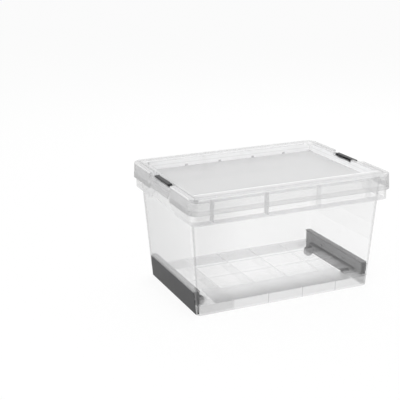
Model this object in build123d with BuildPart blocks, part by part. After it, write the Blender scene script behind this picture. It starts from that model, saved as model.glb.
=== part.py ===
from build123d import *
import os

# Plastic storage container: a clear tapered tub, a clear lid with two latch flaps,
# dark end bars along the foot and four small wheels in wells under the floor.
# Sizes are in millimetres. X runs along the length, Y from front to back, Z is up.
# The origin is the middle of the foot, on the surface that the container stands on.

# Tub walls: size at the foot, and how far each wall leans out by the rim
base_length = 486.0
base_depth = 313.0
tub_height = 309.8
end_flare = 25.4
side_flare = 15.4
base_corner = 11.0
rim_corner = 20.0
tub_wall = 2.4

# Floor and the rib grid under it
floor_height = 27.0
floor_thickness = 2.4
skirt_inset = 0.8
rib_thickness = 2.0
rib_lift = 1.5
cells_along = 5
cells_across = 4

# Collar around the top of the tub, stiffened by webs along its long sides
collar_end_reach = 2.1
collar_side_reach = 23.6
collar_corner = 20.0
collar_drop = 6.8
collar_height = 59.0
collar_wall = 2.4
web_count = 4
web_end_margin = 54.5
web_thickness = 2.0

# Hand grip cut into the collar at each end
grip_foot_width = 160.0
grip_head_width = 96.0
grip_rise = 22.0

# End bar in its recess, held by two pegs
bar_thickness = 9.5
bar_height = 57.8
bar_end_margin = 11.5
bar_foot_gap = 0.3
bar_gap = 0.3
bar_corner = 5.0
bar_edge_round = 1.0
peg_radius = 4.0
peg_spacing = 110.0
peg_height = 42.0
peg_gap = 0.1

# Wheels, their axles and the arched wells
wheel_radius = 14.0
wheel_width = 10.0
wheel_edge_round = 1.6
wheel_dish_radius = 9.0
wheel_dish_depth = 1.6
wheel_hub_radius = 4.0
wheel_lift = 0.6
wheel_side_inset = 60.5
wheel_gap = 2.8
wheel_side_gap = 1.0
well_wall = 2.2
well_bar_gap = 1.5
axle_radius = 2.0
axle_gap = 0.02
wheel_bore_gap = 0.06

# Lid
lid_wall = 2.2
lid_gap = 2.9
lid_flare = 2.0
lid_edge_round = 4.0
skirt_height = 41.0
band_height = 11.0
band_extra = 1.4
panel_end_margin = 17.0
panel_side_margin = 7.0
panel_corner = 16.0
panel_drop = 21.5

# Notch in each end of the lid
notch_width = 138.0
notch_depth = 18.0
notch_drop = 9.0
notch_side_gap = 0.8
notch_rim_gap = 0.3

# Latch flap: a barrel with two stubs, a hanging apron and a hook
hinge_inset = 1.6
hinge_drop = 12.5
barrel_radius = 5.2
barrel_gap = 0.8
stub_radius = 1.4
stub_gap = 0.05
stub_reach = 1.9
flap_side_gap = 1.0
flap_wall = 2.2
flap_reach = 22.5
flap_foot_width = 118.0
hook_height = 4.0
hook_gap = 0.4
latch_side_gap = 1.5
latch_bite = 1.5
catch_thickness = 2.6
catch_end_gap = 3.0

# Latch cover bar over the hinge, with two barbed legs
cover_length = 89.5
cover_width = 11.9
cover_height = 6.3
cover_inset = 1.8
cover_edge_round = 0.8
leg_spacing = 44.0
leg_width = 6.0
leg_thickness = 4.0
leg_inset = 0.5
leg_length = 8.2
leg_gap = 0.2
barb_reach = 1.0
barb_height = 2.1

# Travel of cutting shapes past the faces that they cut
past = 5.0

# Heights and places that follow from the sizes above
rim_half_length = base_length / 2 + end_flare
rim_half_depth = base_depth / 2 + side_flare
collar_length = 2 * (rim_half_length + collar_end_reach)
collar_depth = 2 * (rim_half_depth + collar_side_reach)
collar_top = tub_height - collar_drop
collar_bottom = collar_top - collar_height

bar_inner_face = base_length / 2 - bar_thickness
bar_length = base_depth - 2 * bar_end_margin
bar_top = bar_foot_gap + bar_height
recess_height = bar_top + bar_gap
recess_depth = bar_length + 2 * bar_gap

wheel_height = wheel_lift + wheel_radius
well_radius = wheel_radius + wheel_gap
well_width = wheel_width + 2 * wheel_side_gap
wheel_from_middle = bar_inner_face - well_bar_gap - well_wall - well_radius
wheel_from_centre_line = base_depth / 2 - wheel_side_inset

skirt_reach = lid_gap + lid_wall + band_extra
lid_top = tub_height + lid_wall
lid_length = collar_length + 2 * (skirt_reach - lid_flare)
lid_depth = collar_depth + 2 * (skirt_reach - lid_flare)
lid_corner = collar_corner + skirt_reach - lid_flare
skirt_bottom = lid_top - skirt_height
panel_top = lid_top - panel_drop
panel_length = 2 * (rim_half_length - tub_wall - panel_end_margin)
panel_depth = 2 * (rim_half_depth - tub_wall - panel_side_margin)

notch_floor = lid_top - notch_drop
notch_inner_face = lid_length / 2 - notch_depth
notch_half = notch_width / 2
cheek_outer = notch_half + lid_wall
cheek_inner_face = rim_half_length + notch_rim_gap
tub_notch_half = cheek_outer + notch_side_gap

hinge_from_middle = lid_length / 2 - hinge_inset
hinge_height = lid_top - hinge_drop
notch_floor_edge = hinge_from_middle - barrel_radius - barrel_gap
flap_outer_face = hinge_from_middle + barrel_radius
flap_inner_face = flap_outer_face - flap_wall
flap_half = notch_half - flap_side_gap
flap_foot = hinge_height - flap_reach
hook_top = flap_foot + hook_height
hook_tip = flap_inner_face - latch_side_gap - latch_bite
catch_bottom = hook_top + hook_gap
catch_top = catch_bottom + catch_thickness
catch_half_length = flap_inner_face - latch_side_gap
catch_width = flap_foot_width - 2 * catch_end_gap

cover_inner_face = notch_inner_face + cover_inset
cover_outer_face = cover_inner_face + cover_width
cover_top = notch_floor + cover_height
cover_step = hinge_height + barrel_radius + barrel_gap
leg_face = cover_inner_face + leg_inset

os.makedirs("parts", exist_ok=True)


def save(piece, name):
    """Label a finished piece and write its STEP file."""
    piece.part.label = name
    export_step(piece.part, f"parts/{name}.step")
    print(name, round(piece.part.volume / 1000, 1), "cm3", len(piece.part.solids()), "solid")


def half_length_at(height):
    """Outer half length of the tub at a height."""
    return base_length / 2 + end_flare * height / tub_height


def half_depth_at(height):
    """Outer half depth of the tub at a height."""
    return base_depth / 2 + side_flare * height / tub_height


def tub_section(height, inset):
    """Level section of the tub, set in from its outer face."""
    corner = base_corner + (rim_corner - base_corner) * height / tub_height - inset
    with BuildSketch(Plane.XY.offset(height)) as section:
        RectangleRounded(
            2 * (half_length_at(height) - inset), 2 * (half_depth_at(height) - inset), corner
        )
    return section.sketch


def lid_section(height, inset):
    """Level section of the lid's skirt, set in from its outer face."""
    spread = lid_flare * (lid_top - height) / skirt_height - inset
    with BuildSketch(Plane.XY.offset(height)) as section:
        RectangleRounded(lid_length + 2 * spread, lid_depth + 2 * spread, lid_corner + spread)
    return section.sketch


def arch_section(radius, foot):
    """Upright section of a wheel well: a half round over straight sides down to its foot."""
    with BuildSketch(Plane.XZ) as section:
        with Locations((wheel_from_middle, wheel_height)):
            Circle(radius)
            Rectangle(2 * radius, 2 * radius, align=(Align.CENTER, Align.MAX), mode=Mode.SUBTRACT)
        with Locations((wheel_from_middle, foot)):
            Rectangle(2 * radius, wheel_height - foot, align=(Align.CENTER, Align.MIN))
    return section.sketch


# Outer shape of the tub: a foot skirt, set in a little, and the walls
with BuildPart() as tub_outside:
    loft(
        sections=[tub_section(0, skirt_inset), tub_section(floor_height, skirt_inset)],
        ruled=True,
    )
    loft(sections=[tub_section(floor_height, 0), tub_section(tub_height, 0)], ruled=True)

# Closed block that the right end bar's recess is cut into
with BuildPart() as recess_block:
    add(tub_outside.part)
    with Locations((bar_inner_face - tub_wall, 0, 0)):
        Box(
            base_length,
            recess_depth + 2 * tub_wall,
            recess_height + tub_wall,
            align=(Align.MIN, Align.CENTER, Align.MIN),
            mode=Mode.INTERSECT,
        )

# Arched housing of one wheel, and the hollow that the wheel turns in
with BuildPart() as well_housing:
    extrude(
        arch_section(well_radius + well_wall, rib_lift), amount=well_width / 2 + well_wall, both=True
    )
with BuildPart() as well_hollow:
    extrude(arch_section(well_radius, -past), amount=well_width / 2, both=True)

wheel_places = {
    "front_left": (-1, -1),
    "front_right": (1, -1),
    "back_left": (-1, 1),
    "back_right": (1, 1),
}


def at_wheel(shape, side_x, side_y):
    """Copy of a shape drawn on the right middle line, at one wheel's place."""
    turned = shape if side_x > 0 else shape.mirror(Plane.YZ)
    return turned.moved(Location((0, side_y * wheel_from_centre_line, 0)))


# Tub
with BuildPart() as tub:
    # Collar: a shelf with an upstanding wall, and webs across to the tub's wall
    with BuildSketch(Plane.XY.offset(collar_bottom)):
        RectangleRounded(collar_length, collar_depth, collar_corner)
    extrude(amount=collar_height)
    with BuildSketch(Plane.XY.offset(collar_bottom + collar_wall)):
        RectangleRounded(
            collar_length - 2 * collar_wall,
            collar_depth - 2 * collar_wall,
            collar_corner - collar_wall,
        )
    extrude(amount=collar_height, mode=Mode.SUBTRACT)
    web_pitch = (collar_length - 2 * web_end_margin) / (web_count - 1)
    with Locations((0, 0, collar_bottom)):
        with GridLocations(web_pitch, 0, web_count, 1):
            Box(
                web_thickness,
                collar_depth - collar_wall,
                collar_height,
                align=(Align.CENTER, Align.CENTER, Align.MIN),
            )
    # Grip openings through the collar at both ends, with room above for the lid's notches
    grip_head = collar_bottom + grip_rise
    with BuildSketch(Plane.YZ):
        with BuildLine():
            Polyline(
                (-grip_foot_width / 2, collar_bottom),
                (-grip_head_width / 2, grip_head),
                (-grip_head_width / 2, catch_top),
                (-tub_notch_half, catch_top),
                (-tub_notch_half, collar_top + past),
                (tub_notch_half, collar_top + past),
                (tub_notch_half, catch_top),
                (grip_head_width / 2, catch_top),
                (grip_head_width / 2, grip_head),
                (grip_foot_width / 2, collar_bottom),
                close=True,
            )
        make_face()
    extrude(amount=collar_length, both=True, mode=Mode.SUBTRACT)
    # Ledges that the latch hooks catch under
    with Locations((0, 0, catch_top)):
        Box(
            2 * catch_half_length,
            catch_width,
            catch_thickness,
            align=(Align.CENTER, Align.CENTER, Align.MAX),
        )
    # Walls, then the inside
    add(tub_outside.part)
    loft(
        sections=[tub_section(floor_height, tub_wall), tub_section(tub_height + past, tub_wall)],
        ruled=True,
        mode=Mode.SUBTRACT,
    )
    # Lowered rim under the lid's notches
    with BuildSketch(Plane.XY.offset(notch_floor - lid_wall - notch_rim_gap)):
        Rectangle(lid_length, 2 * tub_notch_half)
    extrude(amount=notch_drop + lid_wall, mode=Mode.SUBTRACT)
    # Hollow under the floor, with its rib grid
    loft(
        sections=[
            tub_section(-past, skirt_inset + tub_wall),
            tub_section(floor_height - floor_thickness, skirt_inset + tub_wall),
        ],
        ruled=True,
        mode=Mode.SUBTRACT,
    )
    rib_height = floor_height - floor_thickness / 2 - rib_lift
    with Locations((0, 0, rib_lift)):
        with GridLocations(base_length / cells_along, 0, cells_along - 1, 1):
            Box(
                rib_thickness,
                2 * (half_depth_at(0) - skirt_inset) - tub_wall,
                rib_height,
                align=(Align.CENTER, Align.CENTER, Align.MIN),
            )
        with GridLocations(0, base_depth / cells_across, 1, cells_across - 1):
            Box(
                2 * bar_inner_face - tub_wall,
                rib_thickness,
                rib_height,
                align=(Align.CENTER, Align.CENTER, Align.MIN),
            )
    # Recesses for the end bars, with holes for the bars' pegs
    add(recess_block.part)
    add(recess_block.part.mirror(Plane.YZ))
    for side in (-1, 1):
        with Locations((side * bar_inner_face, 0, recess_height)):
            Box(
                base_length,
                recess_depth,
                recess_height + past,
                align=(Align.MIN if side > 0 else Align.MAX, Align.CENTER, Align.MAX),
                mode=Mode.SUBTRACT,
            )
    with BuildSketch(Plane.YZ):
        with Locations((0, peg_height)):
            with GridLocations(peg_spacing, 0, 2, 1):
                Circle(peg_radius + peg_gap)
    extrude(amount=base_length, both=True, mode=Mode.SUBTRACT)
    # Wheel wells, and the axles' holes in their cheeks
    for place in wheel_places.values():
        add(at_wheel(well_housing.part, *place))
    for place in wheel_places.values():
        add(at_wheel(well_hollow.part, *place), mode=Mode.SUBTRACT)
    for side_x, side_y in wheel_places.values():
        with Locations((side_x * wheel_from_middle, side_y * wheel_from_centre_line, wheel_height)):
            Cylinder(
                axle_radius + axle_gap,
                well_width + 2 * well_wall,
                rotation=(90, 0, 0),
                mode=Mode.SUBTRACT,
            )
save(tub, "tub")

# Outer shape of the lid
with BuildPart() as lid_outside:
    loft(sections=[lid_section(skirt_bottom, 0), lid_section(lid_top, 0)], ruled=True)
    fillet(lid_outside.edges().group_by(Axis.Z)[-1], lid_edge_round)

# Floors, back walls and cheeks of both notches, before the notches are cut
with BuildPart() as notch_blocks:
    add(lid_outside.part)
    with BuildSketch(Plane.XZ):
        for side in (-1, 1):
            outward = (Align.MIN if side > 0 else Align.MAX, Align.MIN)
            with Locations((side * (notch_inner_face - lid_wall), notch_floor - lid_wall)):
                Rectangle(lid_length, notch_drop + lid_wall, align=outward)
            with Locations((side * cheek_inner_face, catch_top + notch_side_gap)):
                Rectangle(lid_length, lid_top - catch_top - notch_side_gap, align=outward)
            with Locations((side * (collar_length / 2 + notch_rim_gap), skirt_bottom)):
                Rectangle(lid_length, skirt_height, align=outward)
    extrude(amount=cheek_outer, both=True, mode=Mode.INTERSECT)

# Lid
with BuildPart() as lid:
    add(lid_outside.part)
    band_top = skirt_bottom + band_height
    loft(
        sections=[
            lid_section(skirt_bottom - past, lid_wall + band_extra),
            lid_section(band_top, lid_wall + band_extra),
        ],
        ruled=True,
        mode=Mode.SUBTRACT,
    )
    loft(
        sections=[lid_section(band_top, lid_wall), lid_section(lid_top - lid_wall, lid_wall)],
        ruled=True,
        mode=Mode.SUBTRACT,
    )
    # Sunk panel
    with BuildSketch(Plane.XY.offset(panel_top - lid_wall)):
        RectangleRounded(
            panel_length + 2 * lid_wall, panel_depth + 2 * lid_wall, panel_corner + lid_wall
        )
    extrude(amount=panel_drop + lid_wall)
    with BuildSketch(Plane.XY.offset(panel_top)):
        RectangleRounded(panel_length, panel_depth, panel_corner)
    extrude(amount=panel_drop + past, mode=Mode.SUBTRACT)
    # Notches for the latches: a tray for the cover bar, open below for the flap
    add(notch_blocks.part)
    for side in (-1, 1):
        outward = Align.MIN if side > 0 else Align.MAX
        with Locations((side * notch_inner_face, 0, notch_floor)):
            Box(
                lid_length,
                notch_width,
                notch_drop + past,
                align=(outward, Align.CENTER, Align.MIN),
                mode=Mode.SUBTRACT,
            )
        with Locations((side * notch_floor_edge, 0, skirt_bottom - past)):
            Box(
                lid_length,
                notch_width,
                skirt_height + 2 * past,
                align=(outward, Align.CENTER, Align.MIN),
                mode=Mode.SUBTRACT,
            )
        # Holes for the flap's stubs
        with Locations((side * hinge_from_middle, 0, hinge_height)):
            Cylinder(
                stub_radius + stub_gap,
                2 * cheek_outer,
                rotation=(90, 0, 0),
                mode=Mode.SUBTRACT,
            )
        # Slots for the cover bar's legs
        with Locations((side * (leg_face - leg_gap), 0, notch_floor)):
            with GridLocations(0, leg_spacing, 1, 2):
                Box(
                    leg_thickness + 2 * leg_gap,
                    leg_width + 2 * leg_gap,
                    2 * lid_wall + past,
                    align=(outward, Align.CENTER, Align.CENTER),
                    mode=Mode.SUBTRACT,
                )
save(lid, "lid")

# Latch flap, right side
with BuildPart() as flap:
    with BuildSketch(Plane.XZ):
        with Locations((hinge_from_middle, hinge_height)):
            Circle(barrel_radius)
        with Locations((flap_outer_face, flap_foot)):
            Rectangle(flap_wall, flap_reach, align=(Align.MAX, Align.MIN))
        with Locations((flap_inner_face, hook_top)):
            Rectangle(flap_inner_face - hook_tip, hook_height, align=(Align.MAX, Align.MAX))
    extrude(amount=flap_half, both=True)
    # The apron's sides draw in towards its foot
    with BuildSketch(Plane.YZ):
        with BuildLine():
            Polyline(
                (-flap_foot_width / 2, flap_foot),
                (-flap_half, hinge_height - barrel_radius),
                (-flap_half, lid_top),
                (flap_half, lid_top),
                (flap_half, hinge_height - barrel_radius),
                (flap_foot_width / 2, flap_foot),
                close=True,
            )
        make_face()
    extrude(amount=lid_length, both=True, mode=Mode.INTERSECT)
    # The hook is only as wide as the ledge that it catches
    for side in (-1, 1):
        with Locations((flap_inner_face, side * catch_width / 2, flap_foot)):
            Box(
                flap_inner_face - hook_tip,
                flap_foot_width,
                hook_height,
                align=(Align.MAX, Align.MIN if side > 0 else Align.MAX, Align.MIN),
                mode=Mode.SUBTRACT,
            )
    with Locations((hinge_from_middle, 0, hinge_height)):
        Cylinder(stub_radius, 2 * (notch_half + stub_reach), rotation=(90, 0, 0))

# Leg of a cover bar, right side, with its barb under the tray's floor
with BuildPart() as leg:
    barb_top = notch_floor - lid_wall - leg_gap
    with BuildSketch(Plane.XZ):
        with BuildLine():
            Polyline(
                (leg_face, notch_floor),
                (leg_face, barb_top),
                (leg_face - barb_reach, barb_top),
                (leg_face, barb_top - barb_height),
                (leg_face, notch_floor - leg_length),
                (leg_face + leg_thickness, notch_floor - leg_length),
                (leg_face + leg_thickness, notch_floor),
                close=True,
            )
        make_face()
    extrude(amount=leg_width / 2, both=True)

# Latch cover bar, right side: it rests on the tray and reaches over the barrel
with BuildPart() as cover:
    with BuildSketch(Plane.XZ):
        with BuildLine():
            Polyline(
                (cover_inner_face, notch_floor),
                (notch_floor_edge, notch_floor),
                (notch_floor_edge, cover_step),
                (cover_outer_face, cover_step),
                (cover_outer_face, cover_top),
                (cover_inner_face, cover_top),
                close=True,
            )
        make_face()
    extrude(amount=cover_length / 2, both=True)
    fillet(cover.faces().sort_by(Axis.Z)[-1].edges(), cover_edge_round)
    for side in (-1, 1):
        add(leg.part.moved(Location((0, side * leg_spacing / 2, 0))))

# End bar, right side: its outer face follows the end wall's slope
with BuildPart() as end_bar:
    with BuildSketch(Plane.XZ):
        with BuildLine():
            Polyline(
                (bar_inner_face, bar_foot_gap),
                (half_length_at(bar_foot_gap), bar_foot_gap),
                (half_length_at(bar_top), bar_top),
                (bar_inner_face, bar_top),
                close=True,
            )
        make_face()
    extrude(amount=bar_length / 2, both=True)
    fillet(end_bar.edges().filter_by(Axis.X).group_by(Axis.Z)[-1], bar_corner)
    fillet(end_bar.faces().sort_by(Axis.X)[-1].edges(), bar_edge_round)
    with BuildSketch(Plane.YZ.offset(bar_inner_face)):
        with Locations((0, peg_height)):
            with GridLocations(peg_spacing, 0, 2, 1):
                Circle(peg_radius)
    extrude(amount=-tub_wall)

for side_name, side in (("left", -1), ("right", 1)):
    for name, shape in (("latch_flap", flap), ("latch_cover", cover), ("end_bar", end_bar)):
        with BuildPart() as placed:
            add(shape.part if side > 0 else shape.part.mirror(Plane.YZ))
        save(placed, f"{name}_{side_name}")

# Wheel and axle, drawn on the right middle line
with BuildPart() as wheel:
    with Locations((wheel_from_middle, 0, wheel_height)):
        Cylinder(wheel_radius, wheel_width, rotation=(90, 0, 0))
        fillet(wheel.edges().filter_by(GeomType.CIRCLE), wheel_edge_round)
    for side in (-1, 1):
        with BuildSketch(Plane.XZ.offset(side * wheel_width / 2)):
            with Locations((wheel_from_middle, wheel_height)):
                Circle(wheel_dish_radius)
                Circle(wheel_hub_radius, mode=Mode.SUBTRACT)
        extrude(amount=-side * wheel_dish_depth, mode=Mode.SUBTRACT)
    with Locations((wheel_from_middle, 0, wheel_height)):
        Cylinder(axle_radius + wheel_bore_gap, wheel_width, rotation=(90, 0, 0), mode=Mode.SUBTRACT)
with BuildPart() as axle:
    with Locations((wheel_from_middle, 0, wheel_height)):
        Cylinder(axle_radius, well_width + 2 * well_wall, rotation=(90, 0, 0))

for place_name, place in wheel_places.items():
    for name, shape in (("wheel", wheel), ("axle", axle)):
        with BuildPart() as placed:
            add(at_wheel(shape.part, *place))
        save(placed, f"{name}_{place_name}")
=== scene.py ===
"""Dresses the storage container: its finishes, fine moulded detail, floor, lamps and camera."""
from __future__ import annotations

import logging
import math
from dataclasses import dataclass
from enum import Enum

import bpy
from mathutils import Matrix, Vector


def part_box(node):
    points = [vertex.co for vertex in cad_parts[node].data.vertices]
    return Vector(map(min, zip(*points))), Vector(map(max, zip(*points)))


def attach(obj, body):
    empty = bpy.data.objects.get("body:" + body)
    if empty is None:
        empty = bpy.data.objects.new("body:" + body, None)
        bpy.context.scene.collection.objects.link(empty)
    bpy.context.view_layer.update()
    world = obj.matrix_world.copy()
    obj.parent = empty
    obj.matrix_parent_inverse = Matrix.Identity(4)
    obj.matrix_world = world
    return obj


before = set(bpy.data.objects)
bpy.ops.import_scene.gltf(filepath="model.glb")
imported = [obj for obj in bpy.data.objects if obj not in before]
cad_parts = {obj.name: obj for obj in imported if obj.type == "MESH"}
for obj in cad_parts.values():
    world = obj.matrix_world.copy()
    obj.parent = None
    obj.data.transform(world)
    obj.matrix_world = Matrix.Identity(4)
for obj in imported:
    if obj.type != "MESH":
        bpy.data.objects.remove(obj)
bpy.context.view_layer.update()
log = logging.getLogger("container")

Span = tuple[float, float]
Triple = tuple[float, float, float]
Colour = tuple[float, float, float]
Finishes = dict[str, bpy.types.Material]


class Ray(Enum):
    """Kinds of ray that a material or the world tells apart."""

    CAMERA = "Is Camera Ray"
    GLOSSY = "Is Glossy Ray"
    THROUGH = "Is Transmission Ray"
    SHADOW = "Is Shadow Ray"
    DIFFUSE = "Is Diffuse Ray"


class Side(Enum):
    """Half of the container that a zone keeps to, as the sign of X there."""

    LEFT = -1.0
    RIGHT = 1.0


class Nodes:
    """Short way to add and join the nodes of one tree."""

    def __init__(self, tree: bpy.types.NodeTree) -> None:
        """Empties the tree.

        Args:
            tree: The node tree of a material, a world or a node group.
        """
        tree.nodes.clear()
        self.tree = tree

    def add(self, kind: str, settings: dict | None = None, **inputs: object) -> bpy.types.Node:
        """Adds one node.

        Args:
            kind: The node's type name.
            settings: Properties of the node, by name.
            inputs: Socket values or sockets to join, with _ for a space in the name.

        Returns:
            The new node.
        """
        node = self.tree.nodes.new(kind)
        for name, value in (settings or {}).items():
            setattr(node, name, value)
        for name, value in inputs.items():
            self.feed(node.inputs[name.replace("_", " ")], value)
        return node

    def feed(self, socket: bpy.types.NodeSocket, value: object) -> None:
        """Sets a socket to a number or colour, or joins another socket to it.

        Args:
            socket: The socket that is fed.
            value: The number, the colour without its alpha, or the socket to join.
        """
        if isinstance(value, bpy.types.NodeSocket):
            self.tree.links.new(value, socket)
        elif isinstance(value, tuple) and len(value) == 3 and socket.type == "RGBA":
            socket.default_value = (*value, 1.0)
        else:
            socket.default_value = value

    def maths(self, operation: str, *values: object) -> bpy.types.NodeSocket:
        """Adds a Math node.

        Args:
            operation: The node's operation.
            values: Its inputs, in order.

        Returns:
            The result's socket.
        """
        node = self.add("ShaderNodeMath", {"operation": operation})
        for socket, value in zip(node.inputs, values):
            self.feed(socket, value)
        return node.outputs[0]

    def times(self, first: object, *others: object) -> bpy.types.NodeSocket:
        """Multiplies numbers.

        Args:
            first: The first number or its socket.
            others: The numbers or sockets to multiply it by, in order.

        Returns:
            The result's socket.
        """
        result = first
        for other in others:
            result = self.maths("MULTIPLY", result, other)
        return result

    def scaled_and_raised(
        self, value: object, factor: object, start: object
    ) -> bpy.types.NodeSocket:
        """Multiplies a number by a factor and adds a start to it."""
        return self.maths("MULTIPLY_ADD", value, factor, start)

    def noise(
        self, place: bpy.types.NodeSocket, scale: float, detail: float
    ) -> bpy.types.NodeSocket:
        """Adds soft noise and gives the socket of its level, from 0 to 1."""
        node = self.add("ShaderNodeTexNoise", Vector=place, Scale=scale, Detail=detail)
        return node.outputs["Fac"]

    def ray(self, *kinds: Ray) -> bpy.types.NodeSocket:
        """Gives 1 on any of the named kinds of ray and 0 on the others.

        Args:
            kinds: The kinds of ray.

        Returns:
            The result's socket.
        """
        path = self.add("ShaderNodeLightPath")
        result = path.outputs[kinds[0].value]
        for kind in kinds[1:]:
            result = self.maths("MAXIMUM", result, path.outputs[kind.value])
        return result

    def tinted(self, colour: object, factor: object) -> bpy.types.NodeSocket:
        """Multiplies a colour by a number.

        Args:
            colour: The colour or its socket.
            factor: The number or its socket.

        Returns:
            The result's socket.
        """
        node = self.add("ShaderNodeVectorMath", {"operation": "SCALE"})
        self.feed(node.inputs[0], colour)
        self.feed(node.inputs["Scale"], factor)
        return node.outputs[0]

    def mixed(self, share: object, first: object, second: object) -> bpy.types.NodeSocket:
        """Mixes two colours.

        Args:
            share: How much of the second colour shows.
            first: Colour shown at a share of 0.
            second: Colour shown at a share of 1.

        Returns:
            The result's socket.
        """
        node = self.add("ShaderNodeMix", {"data_type": "RGBA"})
        # The node's sockets for plain numbers and vectors come before those for colours
        share_socket, first_socket, second_socket = (node.inputs[i] for i in (0, 6, 7))
        self.feed(share_socket, share)
        self.feed(first_socket, first)
        self.feed(second_socket, second)
        return node.outputs[2]

    def blend(
        self, share: object, first: bpy.types.Node, second: bpy.types.Node
    ) -> bpy.types.Node:
        """Mixes two shaders.

        Args:
            share: How much of the second shader shows.
            first: Shader node shown at a share of 0.
            second: Shader node shown at a share of 1.

        Returns:
            The Mix Shader node.
        """
        node = self.add("ShaderNodeMixShader")
        self.feed(node.inputs[0], share)
        self.feed(node.inputs[1], first.outputs[0])
        self.feed(node.inputs[2], second.outputs[0])
        return node


def new_material(name: str) -> tuple[bpy.types.Material, Nodes]:
    """Makes an empty material.

    Args:
        name: The material's name.

    Returns:
        The material and its nodes.
    """
    material = bpy.data.materials.new(name)
    material.use_nodes = True
    return material, Nodes(material.node_tree)


def add_object(name: str, data: bpy.types.ID) -> bpy.types.Object:
    """Adds an object to the scene.

    Args:
        name: The object's name.
        data: Its mesh, lamp or camera.

    Returns:
        The object.
    """
    made = bpy.data.objects.new(name, data)
    bpy.context.scene.collection.objects.link(made)
    return made


@dataclass(frozen=True)
class Zone:
    """Part of a clear moulding that is milkier, whiter or darker than the rest of it.

    A zone lies between two heights, within one half length and half depth and beyond others.
    Milk is added to the share of light that the plastic scatters, and white multiplies the
    colour that it scatters. The rise makes a zone grow from the middle line to the front, and
    the pitch keeps only the lines of a grid, at the middle of each step in X and at each step
    in Y, as far as half a line to both sides of them.
    """

    heights: Span
    milk: float = 0.0
    white: float = 1.0
    beyond: Span = (0.0, 0.0)
    within: Span = (1.0, 1.0)
    rise: float = 0.0
    pitch: Span = (0.0, 0.0)
    half_line: float = 0.0016
    side: Side | None = None

    def mask(self, nodes: Nodes, axes: bpy.types.NodeOutputs) -> bpy.types.NodeSocket:
        """Gives 1 inside the zone and 0 outside it.

        Args:
            nodes: The material's nodes.
            axes: The outputs that give a point's place along X, Y and Z.

        Returns:
            The result's socket.
        """
        low, high = self.heights
        mask = nodes.maths("COMPARE", axes[2], (low + high) / 2, (high - low) / 2)
        ring = 0.0 if any(self.beyond) else 1.0
        for axis, beyond, within in zip(axes, self.beyond, self.within):
            mask = nodes.times(mask, nodes.maths("COMPARE", axis, 0.0, within))
            if beyond:
                outside = nodes.maths("GREATER_THAN", nodes.maths("ABSOLUTE", axis), beyond)
                ring = nodes.maths("MAXIMUM", ring, outside)
        if self.rise:
            forward = nodes.maths("MAXIMUM", nodes.maths("DIVIDE", axes[1], -self.within[1]), 0.0)
            mask = nodes.times(mask, nodes.maths("POWER", forward, self.rise))
        if self.side:
            outward = nodes.times(axes[0], self.side.value)
            mask = nodes.times(mask, nodes.maths("GREATER_THAN", outward, 0.0))
        return nodes.times(mask, self.grid(nodes, axes), ring)

    def grid(self, nodes: Nodes, axes: bpy.types.NodeOutputs) -> object:
        """Gives 1 on the lines of the zone's grid and 0 between them.

        Args:
            nodes: The material's nodes.
            axes: The outputs that give a point's place along X, Y and Z.

        Returns:
            The result's socket, or 1 for a zone that has no grid.
        """
        grid = 0.0 if any(self.pitch) else 1.0
        for axis, pitch, start in zip(axes, self.pitch, (0.0, 0.5)):
            if pitch:
                step = nodes.maths("FRACT", nodes.scaled_and_raised(axis, 1 / pitch, start))
                on_line = nodes.maths("COMPARE", step, 0.5, self.half_line / pitch)
                grid = nodes.maths("MAXIMUM", grid, on_line)
        return grid


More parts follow.
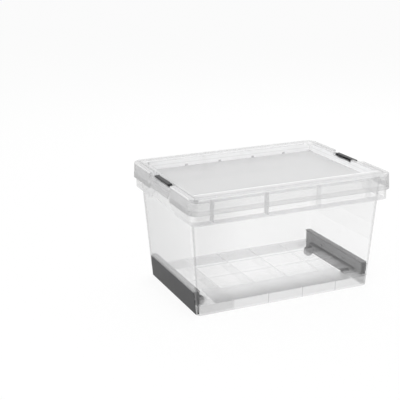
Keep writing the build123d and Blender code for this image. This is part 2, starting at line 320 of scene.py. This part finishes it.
@dataclass(frozen=True)
class ClearPlastic:
    """Clear moulded plastic: it passes most light, and scatters more the flatter it is seen.

    The corner fields paint shade on thin upright lines at the left corners, the left fields paint
    shade on the long walls towards the left end, and the grade field paints light, making the
    scattered colour lighter to the right.
    """

    name: str
    zones: tuple[Zone, ...] = ()
    milk: float = 0.06
    slant_milk: float = 0.94
    slant_power: float = 2.4
    slant_blend: float = 0.5
    scatter: Colour = (0.8, 0.8, 0.802)
    edge_scatter: Colour = (0.2, 0.2, 0.204)
    edge_power: float = 5.0
    painted_corner_shade: float = 0.0
    corner_power: float = 8.0
    corner_top: float = 0.2445
    painted_left_shade: float = 0.0
    left_span: Span = (-0.27, -0.1)
    painted_light_grade: float = 0.0
    tint: Colour = (0.998, 0.998, 0.998)
    roughness: float = 0.22
    roughness_spread: float = 0.02
    haze_scale: float = 35.0
    haze_detail: float = 4.0
    shine: float = 0.5
    ripple_size: float = 0.05
    ripple_detail: float = 1.0
    ripple_depth: float = 0.00004
    knurl: float = 0.0
    knurl_pitch: Span = (0.012, 0.0055)
    shadow_tint: Colour = (0.93, 0.93, 0.932)

    def build(self) -> bpy.types.Material:
        """Makes the material.

        Returns:
            The material.
        """
        material, nodes = new_material(self.name)
        place = nodes.add("ShaderNodeTexCoord").outputs["Object"]
        axes = nodes.add("ShaderNodeSeparateXYZ", Vector=place).outputs
        slant = nodes.add("ShaderNodeLayerWeight", Blend=self.slant_blend).outputs["Facing"]
        share = nodes.scaled_and_raised(
            nodes.maths("POWER", slant, self.slant_power), self.slant_milk, self.milk
        )
        shade = self.wall_shade(nodes, axes)
        # Painted light: the scattered colour grows lighter towards the right
        white = nodes.times(shade, nodes.scaled_and_raised(axes[0], self.painted_light_grade, 1.0))
        for zone in self.zones:
            mask = zone.mask(nodes, axes)
            share = nodes.scaled_and_raised(mask, zone.milk, share)
            white = nodes.times(white, nodes.scaled_and_raised(mask, zone.white - 1, 1.0))
        edge = nodes.maths("POWER", slant, self.edge_power)
        haze = nodes.noise(place, self.haze_scale, self.haze_detail)
        ripple = nodes.noise(place, 1 / self.ripple_size, self.ripple_detail)
        body = nodes.add(
            "ShaderNodeBsdfPrincipled",
            Base_Color=nodes.tinted(nodes.mixed(edge, self.scatter, self.edge_scatter), white),
            Roughness=nodes.scaled_and_raised(haze, self.roughness_spread, self.roughness),
            Specular_IOR_Level=self.shine,
            Normal=nodes.add(
                "ShaderNodeBump", Distance=self.ripple_depth, Height=ripple
            ).outputs[0],
        )
        passed = nodes.add("ShaderNodeBsdfTransparent", Color=nodes.tinted(self.tint, shade))
        seen = nodes.blend(nodes.maths("MINIMUM", share, 1.0), passed, body)
        lit = nodes.add("ShaderNodeBsdfTransparent", Color=self.shadow_tint)
        surface = nodes.blend(nodes.ray(Ray.SHADOW, Ray.DIFFUSE), seen, lit)
        nodes.add("ShaderNodeOutputMaterial", Surface=surface.outputs[0])
        return material

    def wall_shade(self, nodes: Nodes, axes: bpy.types.NodeOutputs) -> bpy.types.NodeSocket:
        """Paints shade on the left corners' lines, the long walls to the left and the knurl's
        hollows.

        Args:
            nodes: The material's nodes.
            axes: The outputs that give a point's place along X, Y and Z.

        Returns:
            The socket of a factor that is 1 where nothing is darkened.
        """
        normal = nodes.add("ShaderNodeTexCoord").outputs["Normal"]
        turned = nodes.add("ShaderNodeSeparateXYZ", Vector=normal).outputs
        # Painted shade: thin upright lines at the left corners, below the corner top
        across = nodes.maths("ABSOLUTE", nodes.times(turned[0], turned[1], 2.0))
        corner = nodes.maths("POWER", across, 2 * self.corner_power)
        for axis, limit in ((axes[0], 0.0), (axes[2], self.corner_top)):
            corner = nodes.times(corner, nodes.maths("LESS_THAN", axis, limit))
        # Painted shade on the long walls, deepening towards the left end
        far, near = self.left_span
        left = nodes.add("ShaderNodeMapRange", {"interpolation_type": "SMOOTHSTEP"})
        limits = {"Value": axes[0], "From Min": far, "From Max": near, "To Min": 1.0, "To Max": 0.0}
        for name, value in limits.items():
            nodes.feed(left.inputs[name], value)
        facing = nodes.times(turned[1], turned[1])
        left_wall_shade = nodes.times(left.outputs[0], facing)
        waves = [
            nodes.maths("SINE", nodes.times(axis, math.tau / pitch))
            for axis, pitch in zip((axes[1], axes[2]), self.knurl_pitch)
        ]
        # The product of the waves lies from -1 to 1, and the hollows' painted shade from 0 to 1
        hollows = nodes.scaled_and_raised(nodes.times(*waves), 0.5, 0.5)
        shade = nodes.scaled_and_raised(corner, -self.painted_corner_shade, 1.0)
        shade = nodes.scaled_and_raised(hollows, -self.knurl, shade)
        return nodes.scaled_and_raised(left_wall_shade, -self.painted_left_shade, shade)


@dataclass(frozen=True)
class DarkPlastic:
    """Dark satin plastic with a fine moulded grain and a faint cloud of tone."""

    name: str
    colour: Colour = (0.036, 0.036, 0.0375)
    roughness: float = 0.4
    roughness_spread: float = 0.12
    shine: float = 0.25
    cloud_scale: float = 22.0
    cloud_detail: float = 3.0
    cloud_low: float = 0.88
    cloud_spread: float = 0.24
    grain_size: float = 0.0006
    grain_detail: float = 2.0
    grain_depth: float = 0.00004
    grain_strength: float = 0.5

    def build(self) -> bpy.types.Material:
        """Makes the material.

        Returns:
            The material.
        """
        material, nodes = new_material(self.name)
        place = nodes.add("ShaderNodeTexCoord").outputs["Object"]
        grain = nodes.noise(place, 1 / self.grain_size, self.grain_detail)
        cloud = nodes.noise(place, self.cloud_scale, self.cloud_detail)
        smoothest = self.roughness - self.roughness_spread / 2
        bump = nodes.add(
            "ShaderNodeBump", Strength=self.grain_strength, Distance=self.grain_depth, Height=grain
        )
        body = nodes.add(
            "ShaderNodeBsdfPrincipled",
            Base_Color=nodes.tinted(
                self.colour, nodes.scaled_and_raised(cloud, self.cloud_spread, self.cloud_low)
            ),
            Roughness=nodes.scaled_and_raised(cloud, self.roughness_spread, smoothest),
            Specular_IOR_Level=self.shine,
            Normal=bump.outputs[0],
        )
        nodes.add("ShaderNodeOutputMaterial", Surface=body.outputs[0])
        return material


# Heights, half sizes and steps that several zones share, in metres
FLOOR: Span = (0.0243, 0.0275)
FOOT: Span = (-0.001, 0.0268)
INSIDE_FOOT: Span = (0.2405, 0.1535)
RIB_STEP: Span = (0.0972, 0.0783)
END_WALL_IN: Span = (0.2435, 0.0)
END_WALL_OUT: Span = (0.264, 0.15)
POCKET_IN: Span = (0.2485, 0.162)
POCKET_OUT: Span = (0.2515, 0.165)
RIM_TOP: Span = (0.3095, 0.3125)

TUB_ZONES = (
    # Floor: all of it, its middle cells, both ends, then painted shade that grows to the front
    Zone(FLOOR, milk=-0.14, white=1.25, within=INSIDE_FOOT),
    Zone(FLOOR, milk=-0.07, within=(0.1458, 0.0783)),
    Zone(FLOOR, milk=-0.14, beyond=(0.19, 0.0), within=(0.2405, 0.125)),
    Zone(FLOOR, milk=0.65, white=0.4, within=(0.193, 0.1535), rise=1.7),
    Zone(FLOOR, milk=0.24, white=0.72, beyond=(0.193, 0.0), within=INSIDE_FOOT, rise=1.7),
    # Floor: between the right wheels, and along the tops of the ribs
    Zone(FLOOR, milk=0.12, beyond=(0.2, 0.0), within=(0.2405, 0.05), side=Side.RIGHT),
    Zone(FLOOR, milk=0.2, white=0.78, within=INSIDE_FOOT, pitch=RIB_STEP, half_line=0.0022),
    # Ribs under the floor
    Zone((-0.001, 0.0243), milk=-0.26, within=INSIDE_FOOT),
    # Foot skirt: painted shadow all round, deeper at its left end, darker where the ribs meet it
    Zone(FOOT, milk=0.35, white=0.91, beyond=INSIDE_FOOT),
    Zone(FOOT, white=0.76, beyond=(0.1458, 1.0), within=(0.3, 0.3), side=Side.LEFT),
    Zone(FOOT, white=0.7, beyond=(1.0, 0.1535), pitch=(0.0972, 0.0)),
    # Tops of the wheel wells, sides of the bar recesses, and the edge over each bar
    Zone((0.0275, 0.0345), milk=-0.5, beyond=(0.19, 0.0), within=(0.236, 0.115)),
    Zone((0.0275, 0.0612), milk=-0.4, beyond=(0.0, 0.1446), within=(0.252, 0.1483)),
    Zone((0.0582, 0.0612), milk=0.5, white=0.12, beyond=(0.231, 0.0), within=(0.2475, 0.1475)),
    # End walls: all of both, and two clearer steps down the right one
    Zone((0.0615, 0.2435), milk=-0.08, beyond=END_WALL_IN, within=END_WALL_OUT),
    Zone((0.0615, 0.12), milk=-0.04, beyond=END_WALL_IN, within=END_WALL_OUT, side=Side.RIGHT),
    Zone((0.0615, 0.165), milk=-0.03, beyond=END_WALL_IN, within=END_WALL_OUT, side=Side.RIGHT),
    # Collar below the lid, and the webs in its left half
    Zone((0.2445, 0.2705), milk=-0.035),
    Zone((0.2475, 0.3035), milk=0.22, white=0.8, beyond=(0.0, 0.1725), within=(0.255, 0.1925),
         side=Side.LEFT),
)

LID_ZONES = (
    # Sunk panel, the milky wall round it, and the wall's thin dark line
    Zone((0.2878, 0.2908), milk=0.15, white=0.84, within=POCKET_IN),
    Zone((0.2878, 0.3095), milk=0.45, white=1.33, beyond=POCKET_IN, within=POCKET_OUT),
    Zone((0.2995, 0.3009), white=0.84, beyond=POCKET_IN, within=POCKET_OUT),
    # Rim between the panel and each latch cover, left clear
    Zone((0.3035, 0.3125), milk=-1.5, beyond=(0.2485, 0.0), within=(0.2585, 0.046)),
    # Skirt: its lower edge, its long sides and its ends
    Zone((0.2705, 0.2822), milk=0.25, white=0.76, beyond=(0.27, 0.19)),
    Zone((0.2822, 0.309), milk=0.05, white=0.9, beyond=(0.0, 0.19)),
    Zone((0.2705, 0.309), milk=0.1, white=0.76, beyond=(0.27, 0.0)),
    # Rim: painted highlights on its inner and outer edges, and painted shade in its groove
    Zone(RIM_TOP, milk=0.4, white=1.25, beyond=(0.0, 0.165), within=(0.2545, 0.168)),
    Zone(RIM_TOP, white=0.62, beyond=(0.258, 0.183), within=(0.263, 0.188)),
    Zone((0.3075, 0.3125), milk=0.4, white=1.2, beyond=(0.2735, 0.1995)),
)


@dataclass
class Container:
    """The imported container's own nodes and the finish that each takes."""

    # The tub's and lid's corner and left fields paint shade, and their grades paint light
    tub: ClearPlastic = ClearPlastic(
        "tub_plastic", TUB_ZONES, painted_corner_shade=0.16, painted_left_shade=0.06, painted_light_grade=0.15
    )
    lid: ClearPlastic = ClearPlastic(
        "lid_plastic", LID_ZONES, painted_corner_shade=0.12, corner_power=1.5, corner_top=1.0, painted_light_grade=0.2
    )
    lug: ClearPlastic = ClearPlastic("lug_plastic", milk=0.35, scatter=(0.66, 0.66, 0.662))
    flap: ClearPlastic = ClearPlastic("flap_plastic", scatter=(0.68, 0.68, 0.682), knurl=0.14)
    bar: DarkPlastic = DarkPlastic("bar_plastic", shine=0.18)
    cover: DarkPlastic = DarkPlastic("cover_plastic", shine=0.12)
    wheel: DarkPlastic = DarkPlastic("wheel_plastic", roughness=0.5)

    def dress(self) -> Finishes:
        """Gives each node its finish.

        Returns:
            The materials, by the start of the names of the pieces that they are on.
        """
        finishes = {
            "tub": self.tub, "lid": self.lid, "latch_flap": self.flap, "latch_cover": self.cover,
            "end_bar": self.bar, "wheel": self.wheel, "axle": self.wheel, "stacking_lug": self.lug,
        }
        made = {start: finish.build() for start, finish in finishes.items()}
        for name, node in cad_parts.items():
            start = next(start for start in made if name.startswith(start))
            node.data.materials.clear()
            node.data.materials.append(made[start])
            log.info("dressed %s with %s", name, made[start].name)
        return made


@dataclass
class Moulding:
    """One small rounded shape set out at many places by a node group, kept as one plain mesh.

    The shape is a block that stands on its place, narrower at its top, with softened edges.
    The block is one unit high until it gets its size, and the top is all above the top level.
    """

    name: str
    body: str
    slot: str
    finish: bpy.types.Material
    size: Triple
    places: list[Triple]
    turns: list[Triple]
    taper: float = 0.7
    crease: float = 0.5
    smoothness: int = 2
    half_block: float = 0.5
    top_level: float = 0.9

    def make_group(self) -> bpy.types.GeometryNodeTree:
        """Makes the node group that shapes, places and joins the copies.

        Returns:
            The node group.
        """
        tree = bpy.data.node_groups.new(self.name, "GeometryNodeTree")
        nodes = Nodes(tree)
        for label, kind in (("Geometry", "Geometry"), ("Size", "Vector"), ("Taper", "Float"),
                            ("Crease", "Float"), ("Finish", "Material")):
            tree.interface.new_socket(label, in_out="INPUT", socket_type=f"NodeSocket{kind}")
        tree.interface.new_socket("Geometry", in_out="OUTPUT", socket_type="NodeSocketGeometry")
        given = nodes.add("NodeGroupInput").outputs
        block = nodes.add("GeometryNodeMeshCube").outputs[0]
        lift = (0.0, 0.0, self.half_block)
        raised = nodes.add("GeometryNodeTransform", Geometry=block, Translation=lift)
        place = nodes.add("GeometryNodeInputPosition").outputs[0]
        height = nodes.add("ShaderNodeSeparateXYZ", Vector=place).outputs[2]
        top = nodes.add(
            "FunctionNodeCompare", {"operation": "GREATER_THAN"}, A=height, B=self.top_level
        )
        narrowed = nodes.add(
            "GeometryNodeScaleElements", Geometry=raised.outputs[0], Selection=top.outputs[0],
            Scale=given["Taper"],
        )
        rounded = nodes.add(
            "GeometryNodeSubdivisionSurface", Mesh=narrowed.outputs[0], Level=self.smoothness,
            Edge_Crease=given["Crease"],
        )
        smooth = nodes.add("GeometryNodeSetShadeSmooth", Geometry=rounded.outputs[0])
        turn = nodes.add(
            "GeometryNodeInputNamedAttribute", {"data_type": "FLOAT_VECTOR"}, Name="turn"
        )
        copies = nodes.add(
            "GeometryNodeInstanceOnPoints", Points=given["Geometry"], Instance=smooth.outputs[0],
            Rotation=turn.outputs[0], Scale=given["Size"],
        )
        joined = nodes.add("GeometryNodeRealizeInstances", Geometry=copies.outputs[0])
        done = nodes.add(
            "GeometryNodeSetMaterial", Geometry=joined.outputs[0], Material=given["Finish"]
        )
        nodes.add("NodeGroupOutput", Geometry=done.outputs[0])
        return tree

    def build(self) -> bpy.types.Object:
        """Makes the piece.

        Returns:
            The piece, a plain mesh that rides on its body.
        """
        points = bpy.data.meshes.new(f"{self.name}_places")
        points.from_pydata(self.places, [], [])
        turn = points.attributes.new("turn", "FLOAT_VECTOR", "POINT")
        turn.data.foreach_set("vector", [angle for angles in self.turns for angle in angles])
        holder = add_object(f"{self.name}_places", points)
        modifier = holder.modifiers.new("moulding", "NODES")
        modifier.node_group = self.make_group()
        sockets = {
            item.name: item.identifier for item in modifier.node_group.interface.items_tree
            if item.in_out == "INPUT"
        }
        for label, value in (("Size", self.size), ("Taper", self.taper), ("Crease", self.crease),
                             ("Finish", self.finish)):
            modifier[sockets[label]] = value
        seen = holder.evaluated_get(bpy.context.evaluated_depsgraph_get())
        mesh = bpy.data.meshes.new_from_object(seen)
        bpy.data.objects.remove(holder)
        mesh.name = self.name
        piece = add_object(self.name, mesh)
        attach(piece, self.body)
        return piece


@dataclass
class StackingLugs:
    """Small lugs that stand in the lid's sunk panel, along its long sides."""

    size: Triple = (0.009, 0.0034, 0.0052)
    along: tuple[float, ...] = (-0.1335, -0.0355, 0.0645, 0.1615)
    panel_top: float = 0.2905
    pocket_half_depth: float = 0.1625

    def build(self, finishes: Finishes) -> list[bpy.types.Object]:
        """Makes the lugs.

        Args:
            finishes: The materials, by the start of a piece's name.

        Returns:
            The lugs, as one piece.
        """
        depth = self.pocket_half_depth - self.size[1] / 2
        places = [
            (side * along, side * depth, self.panel_top) for side in (1, -1) for along in self.along
        ]
        lugs = Moulding(
            "stacking_lugs", "lid", "clear_plastic", finishes["stacking_lug"], self.size, places,
            turns=[(0.0, 0.0, 0.0)] * len(places),
        )
        return [lugs.build()]


@dataclass
class WheelSpokes:
    """Spokes in the dishes on both faces of each wheel."""

    size: Triple = (0.0012, 0.0012, 0.0052)
    start: float = 0.0039
    count: int = 6
    dish_depth: float = 0.0016

    def build(self, finishes: Finishes) -> list[bpy.types.Object]:
        """Makes the spokes of all the wheels, as one piece for each wheel."""
        wheels = [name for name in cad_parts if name.startswith("wheel_")]
        return [self.build_wheel(wheel, finishes["wheel"]) for wheel in wheels]

    def build_wheel(self, wheel: str, finish: bpy.types.Material) -> bpy.types.Object:
        """Makes the spokes of one wheel.

        Args:
            wheel: The wheel's node and body.
            finish: The wheel's material.

        Returns:
            The spokes of both faces, as one piece.
        """
        low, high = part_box(wheel)
        middle = [(a + b) / 2 for a, b in zip(low, high)]
        inset = self.dish_depth - self.size[1] / 2
        places, turns = [], []
        for face in (low[1] + inset, high[1] - inset):
            for k in range(self.count):
                angle = math.tau * k / self.count
                places.append((
                    middle[0] + self.start * math.sin(angle), face,
                    middle[2] + self.start * math.cos(angle),
                ))
                turns.append((0.0, angle, 0.0))
        return Moulding(
            f"spokes_{wheel}", wheel, "dark_plastic", finish, self.size, places, turns
        ).build()


@dataclass(frozen=True)
class Lamp:
    """Soft square lamp of a size in metres and a power in watts, turned to its target."""

    name: str
    place: Triple
    size: float
    power: float
    target: Triple = (0.0, 0.0, 0.15)

    def build(self) -> None:
        """Makes the lamp."""
        lamp = bpy.data.lights.new(self.name, "AREA")
        lamp.shape = "SQUARE"
        lamp.size = self.size
        lamp.energy = self.power
        holder = add_object(self.name, lamp)
        holder.location = self.place
        aim = Vector(self.target) - Vector(self.place)
        holder.rotation_mode = "QUATERNION"
        holder.rotation_quaternion = aim.to_track_quat("-Z", "Y")


@dataclass(frozen=True)
class ViewCamera:
    """Camera at the photograph's viewing angle, in degrees, with its focal length in pixels."""

    azimuth: float = -23.7413
    elevation: float = 17.262
    roll: float = -0.3927
    place: Triple = (-1.07539, -2.06801, 0.945)
    focal_pixels: float = 934.148
    image_width: int = 400
    sensor_width: float = 36.0

    def build(self) -> None:
        """Makes the camera."""
        turn, lift = math.radians(self.azimuth), math.radians(self.elevation)
        back = Vector((
            math.sin(turn) * math.cos(lift), -math.cos(turn) * math.cos(lift), math.sin(lift)
        ))
        right = (-back).cross(Vector((0.0, 0.0, 1.0))).normalized()
        up = right.cross(-back)
        axes = Matrix((right, up, back)).transposed()
        axes = axes @ Matrix.Rotation(math.radians(self.roll), 3, "Z")
        lens = bpy.data.cameras.new("camera")
        lens.sensor_width = self.sensor_width
        lens.lens = self.focal_pixels * self.sensor_width / self.image_width
        camera = add_object("camera", lens)
        camera.matrix_world = Matrix.Translation(self.place) @ axes.to_4x4()
        bpy.context.scene.camera = camera


@dataclass
class Studio:
    """Pale floor, white surroundings, soft lamps and the camera."""

    white: Colour = (1.0, 1.0, 1.0)
    world_light: float = 0.7
    floor_size: float = 60.0
    floor_colour: Colour = (0.9, 0.9, 0.9)
    floor_own_white: float = 0.9
    floor_white_through: float = 0.88
    bounces: int = 40
    lamps: tuple[Lamp, ...] = (
        Lamp("key_lamp", place=(1.1, 1.3, 2.4), size=1.6, power=34.0),
        Lamp("fill_lamp", place=(-1.8, -1.6, 1.6), size=1.4, power=27.0),
    )
    camera: ViewCamera = ViewCamera()

    def build(self) -> None:
        """Makes the whole studio."""
        self.make_world()
        self.make_floor()
        for lamp in self.lamps:
            lamp.build()
        self.camera.build()
        scene = bpy.context.scene
        scene.view_settings.view_transform = "Standard"
        scene.cycles.max_bounces = self.bounces
        scene.cycles.transmission_bounces = self.bounces
        scene.cycles.transparent_max_bounces = self.bounces

    def make_world(self) -> None:
        """Makes surroundings that light the object softly and look plain white."""
        world = bpy.data.worlds.new("studio")
        world.use_nodes = True
        bpy.context.scene.world = world
        nodes = Nodes(world.node_tree)
        light = nodes.add("ShaderNodeBackground", Color=self.white, Strength=self.world_light)
        seen = nodes.add("ShaderNodeBackground", Color=self.white, Strength=1.0)
        share = nodes.ray(Ray.CAMERA, Ray.GLOSSY, Ray.THROUGH)
        mixed = nodes.blend(share, light, seen)
        nodes.add("ShaderNodeOutputWorld", Surface=mixed.outputs[0])

    def make_floor(self) -> None:
        """Makes a pale floor that looks white and keeps the object's shadow."""
        half = self.floor_size / 2
        mesh = bpy.data.meshes.new("floor")
        corners = [(-half, -half, 0.0), (half, -half, 0.0), (half, half, 0.0), (-half, half, 0.0)]
        mesh.from_pydata(corners, [], [(0, 1, 2, 3)])
        floor = add_object("floor", mesh)
        material, nodes = new_material("pale_floor")
        lit = nodes.add("ShaderNodeBsdfDiffuse", Color=self.floor_colour)
        own = nodes.add("ShaderNodeEmission", Color=self.white, Strength=1.0)
        direct = nodes.times(nodes.ray(Ray.CAMERA), self.floor_own_white)
        bent = nodes.times(nodes.ray(Ray.GLOSSY, Ray.THROUGH), self.floor_white_through)
        mixed = nodes.blend(nodes.maths("MAXIMUM", direct, bent), lit, own)
        nodes.add("ShaderNodeOutputMaterial", Surface=mixed.outputs[0])
        mesh.materials.append(material)


def main() -> None:
    """Builds the studio, the finishes and the small shapes in order, and logs each piece."""
    logging.basicConfig(level=logging.INFO, format="%(message)s")
    Studio().build()
    finishes = Container().dress()
    for part in (StackingLugs(), WheelSpokes()):
        for piece in part.build(finishes):
            log.info("built %s", piece.name)


if __name__ == "__main__":
    main()
